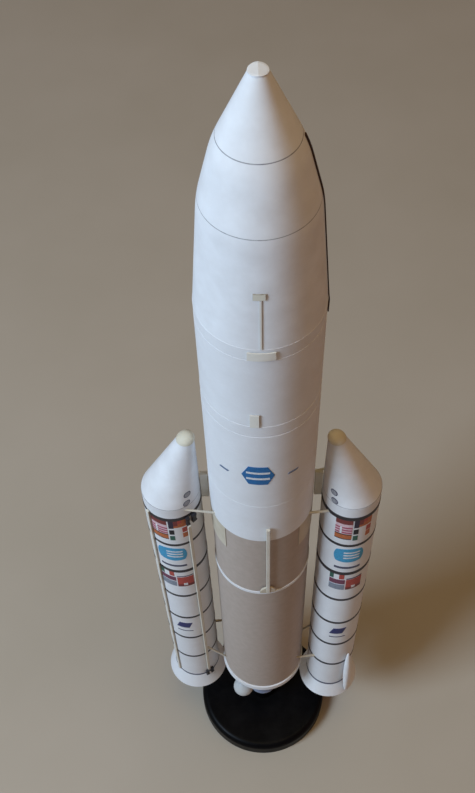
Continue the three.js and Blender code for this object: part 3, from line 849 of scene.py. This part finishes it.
# columns: see badges
BOOSTER_BADGES = [
    ("sky", 0, 280.8, 8.6, 8.0, 0.6, 0, 0, 1),
    ("pale", 1.6, 278.0, 4.6, 0.7, 0, 0, 0, 2),
    ("pale", 1.6, 281.2, 4.6, 0.7, 0, 0, 0, 2),
    ("pale", 1.6, 284.4, 4.6, 0.7, 0, 0, 0, 2),
    ("slate", 0, 265.6, 7.6, 1.1, 0, 0, 0, 1),
    ("deep_blue", 0, 173.0, 4.2, 4.0, 0, 1.2, 0, 1),
    ("slate", 0, 163.6, 5.2, 0.5, 0, 0, 0, 1),
]
# columns: facing angle and height of the round stickers on the noses
STICKERS = [(33.7, 343.4), (33.7, 336.7), (139.8, 343.4), (139.8, 336.7)]
# columns of a sticker's two layers: ink, radius, roundness, slant, taper, layer
STICKER_LAYERS = [("slate", 2.1, 0.9, 0, 0, 1), ("grey", 1.6, 0.9, 0, 0, 2)]


def nose_wall(height):
    """Radius of the leaning nose at a height: it shrinks evenly from the tube's radius to the tip's."""
    return np.interp(height, [BOOSTER_HEAD[2], NOSE_HEAD[2]], [BOOSTER_RADIUS, NOSE_TOP_RADIUS])


def build_booster(side, turn):
    """All pieces of one booster, made at the left one's place and moved to their own by turn."""
    def add(name, body, finish, slot, node):
        add_piece(f"{name}_{side}", turn(body), [FINISH[finish]], slot, [f"{node}_{side}"])

    build_booster_card(add)
    build_booster_tip(add)
    build_booster_nozzle(add)
    build_booster_covers(add)
    build_booster_pod(add)
    build_attachment(add)
    build_booster_marks(side, turn)


def build_booster_card(add):
    """The rolled tube, the flared skirt under it and the leaning nose on it."""
    foot, head, top = BOOSTER_FOOT[2], BOOSTER_HEAD[2], NOSE_HEAD[2]
    tube_foot = box_mm("booster_tube_left")[0][2]
    # columns: node, finish, axis, lower and upper radius, lower and upper height
    sleeves = [
        ("booster_tube", "white", booster_axis, BOOSTER_RADIUS, BOOSTER_RADIUS, tube_foot, head),
        ("aft_skirt", "white", booster_axis, SKIRT_RADIUS, BOOSTER_RADIUS, foot, tube_foot),
        ("booster_nose", "booster_nose", nose_axis, BOOSTER_RADIUS, NOSE_TOP_RADIUS, head, top),
    ]
    for node, finish, axis, *sizes in sleeves:
        body = [turned(sleeve_profile(*sizes), axis, seam=BOOSTER_SEAM)]
        add(node + "_card", body, finish, "paper", node)


def build_booster_covers(add):
    """Two long cable covers down the tube, and the black fittings near the ends of the inner one."""
    for node, start, end in COVERS:
        low, high = box_mm(node + "_left")
        half = np.radians(end - start) / 2 * BOOSTER_RADIUS
        place = on_wall(BOOSTER_RADIUS, booster_axis, (start + end) / 2)
        body = slab(place, [-half, 0, half], [low[2], high[2]], SEAT_GAP, COVER_THICKNESS, BLOCK_EDGE)
        add(node + "_cover", body, "cover", "cream", node)
    for node, start, end in FITTINGS:
        add(node + "_block", fitting_body(node, start, end), "black", "black", node)


def build_attachment(add):
    """What joins booster and core: a plate on edge, four struts and a card patch round the core."""
    low, high = box_mm("forward_plate_left")
    add("forward_plate_card", plate_body(low, high), "cover", "cream", "forward_plate")
    for node, finish, *ends in STRUTS:
        add(node + "_rod", [rod(ends[:3], ends[4:7], ends[3], ends[7])], finish, "cream", node)
    core = upright("core_upper_tube")[2]
    low, high = box_mm("attachment_patch_left")
    half = np.radians(PATCH_HALF_TURN) * core
    across = np.linspace(-half, half, 41)
    body = slab(on_wall(core, facing=-90), across, [low[2], high[2]], TRIM_LIFT, PATCH_THICKNESS, CARD_EDGE)
    add("attachment_patch_card", body, "patch", "cream", "attachment_patch")


def build_booster_tip(add):
    """Rounded tip: a flat foot and a quarter oval over it, following the nose's leaning axis."""
    low, high = box_mm("booster_tip_left")
    rise = np.radians(np.linspace(0, 90, 12))
    dome = np.column_stack([TIP_RADIUS * np.cos(rise), low[2] + (high[2] - low[2]) * np.sin(rise)])
    dome[-1, 0] = 0
    tip = np.concatenate([[[0, low[2]]], dome])
    add("booster_tip_cap", [turned(tip, nose_axis, columns=65)], "tip", "cream", "booster_tip")


NOZZLE_TOP = 7.0
NOZZLE_WALL = 0.9
NOZZLE_CEILING = 2.5  # thickness over the hollow


def build_booster_nozzle(add):
    """Open bell with one wall thickness: its outer radius grows with the root of the way down."""
    low, high, mouth = upright("booster_nozzle_left")
    share = np.linspace(0, 1, 16)
    radius = NOZZLE_TOP + (mouth - NOZZLE_TOP) * np.sqrt(share)
    outer = np.column_stack([radius, high - share * (high - low)])
    roof = high - NOZZLE_CEILING
    inner = outer[outer[:, 1] < roof] - [NOZZLE_WALL, 0]
    start = [[0, roof], [NOZZLE_TOP - NOZZLE_WALL, roof]]
    profile = np.concatenate([start, inner, outer[::-1], [[0, high]]])
    bell = turned(profile, booster_axis, columns=65)
    add("booster_nozzle_bell", [bell], "engine", "metal", "booster_nozzle")


FITTING_WAIST = 0.33  # how much a fitting narrows at its middle height


def fitting_body(node, start, end):
    """A small block that narrows towards its middle height, as a cosine squared."""
    low, high = box_mm(node + "_left")
    half = np.radians(end - start) / 2 * BOOSTER_RADIUS
    middle, reach = (low[2] + high[2]) / 2, (high[2] - low[2]) / 2
    wall = on_wall(BOOSTER_RADIUS, booster_axis, (start + end) / 2)

    def waisted(across, along, lift):
        narrow = 1 - FITTING_WAIST * np.cos((along - middle) / reach * np.pi / 2) ** 2
        return wall(across * narrow, along, lift)
    across, along = np.linspace(-half, half, 5), np.linspace(low[2], high[2], 9)
    return slab(waisted, across, along, SEAT_GAP, FITTING_THICKNESS, BLOCK_EDGE)


POD_RADIUS = 2.4
POD_ANGLE = -145.0
POD_FOOT_REACH = 20.0  # from the booster's axis to the spindle's, below and above
POD_HEAD_REACH = 17.4


def build_booster_pod(add):
    """Spindle that leans on tube and skirt: its radius is the root of the sine of the way along."""
    low, high = box_mm("booster_pod_left")
    foot = np.append(direction(POD_ANGLE) * POD_FOOT_REACH, low[2])
    head = np.append(direction(POD_ANGLE) * POD_HEAD_REACH, high[2])
    own_axis = straight_axis(foot, head)

    def pod_axis(height):
        return np.add(own_axis(height), booster_axis(height))
    share = (1 - np.cos(np.pi * np.linspace(0, 1, 33))) / 2
    wall = POD_RADIUS * np.sqrt(np.clip(np.sin(np.pi * share), 0, 1))
    wall[[0, -1]] = 0
    spindle = np.column_stack([wall, low[2] + share * (high[2] - low[2])])
    add("booster_pod_spindle", [turned(spindle, pod_axis, columns=49)], "pod", "paper", "booster_pod")


def plate_body(low, high):
    """A flat plate on edge: a closed block whose base is its rear face."""
    def place(across, along, lift):
        return np.stack([across, high[1] - lift, along], -1)
    return slab(place, [low[0], high[0]], [low[2], high[2]], 0, high[1] - low[1], BLOCK_EDGE)


def build_booster_marks(side, turn):
    """Rings round the tube, panels and plain badges in front and behind, and the nose's stickers."""
    marks = []
    for ring_low, height, ink in RINGS:
        radius = BOOSTER_RADIUS + RING_THICKNESS
        ring = sleeve_profile(radius, radius, ring_low, ring_low + height, RING_EDGE)
        ring[:, 0] = np.maximum(ring[:, 0], BOOSTER_RADIUS - RING_DEPTH)
        ring = np.concatenate([ring, ring[:1]])
        marks.append((ink, [turned(ring, booster_axis)]))
    degree = np.radians(1) * BOOSTER_RADIUS
    for base in PANEL_BASES:
        place = on_wall(BOOSTER_RADIUS, booster_axis, base)
        for ink, left, right, low, high, layer in PANELS:
            marks.append((ink, patch(place, left * degree, right * degree, low, high, layer)))
        marks += badges(on_wall(BOOSTER_RADIUS, booster_axis, base + BADGE_ANGLE), BOOSTER_BADGES)
    for angle, height in STICKERS:
        place = on_wall(nose_wall, nose_axis, angle)
        for ink, radius, *shape in STICKER_LAYERS:
            marks.append((ink, badge(place, (0, height), radius, radius, *shape)))
    marks = [(ink, turn(grids)) for ink, grids in marks]
    add_marks(f"booster_marks_{side}", marks)


def keep(body):
    """The body as it is, for the left booster."""
    return body


# Floor, light and camera

FLOOR_REACH = 3.0  # metres from the origin to each side


def build_floor():
    """One wide flat sheet under the stand."""
    mesh = bpy.data.meshes.new("floor")
    corners = FLOOR_REACH * np.array([[-1, -1, 0], [1, -1, 0], [1, 1, 0], [-1, 1, 0]])
    mesh.from_pydata(corners.tolist(), [], [(0, 1, 2, 3)])
    mesh.materials.append(floor_finish("floor_pale"))
    floor = add_object("floor", mesh)


LIGHT_AIM = (0.0, 0.0, 0.3)  # metres
WORLD_COLOUR = (1.0, 0.68, 0.6, 1.0)
WORLD_STRENGTH = 0.08
# The window is 60 degrees to the left of the front, 38 degrees up and 1.8 m from the aim
# columns: name, place in metres, size in metres, power in watts, colour
LIGHTS = [
    ("window_light", (-1.2284, -0.7092, 1.4082), 0.63, 30.8, (0.605, 0.77, 0.95)),
    ("ceiling_light", (0.2, -0.2, 2.6), 1.4, 13.2, (1.0, 0.77, 0.36)),
    ("room_light", (4.5, -2.2, 2.3), 4.5, 21.0, (1.0, 0.34, 0.12)),
]


def add_light(name, place, size, power, colour):
    """A square soft light, turned to the aim."""
    lamp = bpy.data.lights.new(name, "AREA")
    lamp.size, lamp.energy, lamp.color = size, power, colour
    light = add_object(name, lamp)
    light.location = place
    light.rotation_euler = Vector(np.subtract(place, LIGHT_AIM)).to_track_quat("Z", "Y").to_euler()


def build_light():
    """A large cool light at the left front, weak warm ones overhead and at the right, and a faint world."""
    for light in LIGHTS:
        add_light(*light)
    world = bpy.data.worlds.new("soft_room")
    world.use_nodes = True
    backdrop = world.node_tree.nodes["Background"]
    backdrop.inputs["Color"].default_value = WORLD_COLOUR
    backdrop.inputs["Strength"].default_value = WORLD_STRENGTH
    bpy.context.scene.world = world


CAMERA_PLACE = (-4.4, -274.58, 828.19)  # mm
CAMERA_DOWN = 56.26  # degrees below the horizon
CAMERA_TURN = -1.3  # degrees towards +X
CAMERA_ROLL = -2.29
FOCAL_PIXELS = 1077.73
PHOTO_HEIGHT = 793  # pixels
SENSOR = 36.0  # mm


def build_camera():
    """Camera at the photograph's place, its axes worked out from tilt, turn and roll."""
    down, turn, roll = np.radians([CAMERA_DOWN, CAMERA_TURN, CAMERA_ROLL])
    ahead = np.array([np.sin(turn) * np.cos(down), np.cos(turn) * np.cos(down), -np.sin(down)])
    right = np.array([np.cos(turn), -np.sin(turn), 0.0])
    above = np.cross(right, ahead)
    right, above = np.cos(roll) * right + np.sin(roll) * above, np.cos(roll) * above - np.sin(roll) * right
    lens = bpy.data.cameras.new("camera")
    lens.sensor_width = SENSOR
    lens.lens = FOCAL_PIXELS * SENSOR / PHOTO_HEIGHT
    lens.clip_start, lens.clip_end = 0.01, 20.0
    camera = add_object("camera", lens)
    axes = np.eye(4)
    axes[:3, 0], axes[:3, 1], axes[:3, 2] = right, above, -ahead
    axes[:3, 3] = np.array(CAMERA_PLACE) * MM
    camera.matrix_world = Matrix(axes.tolist())
    bpy.context.scene.camera = camera


build_camera()
build_light()
build_floor()
build_stand()
build_engine()
build_core()
build_fairing_trim()
build_front_raceway()
build_core_marks()
build_booster("left", keep)
build_booster("right", half_turn)
bpy.context.scene.view_settings.view_transform = "Standard"
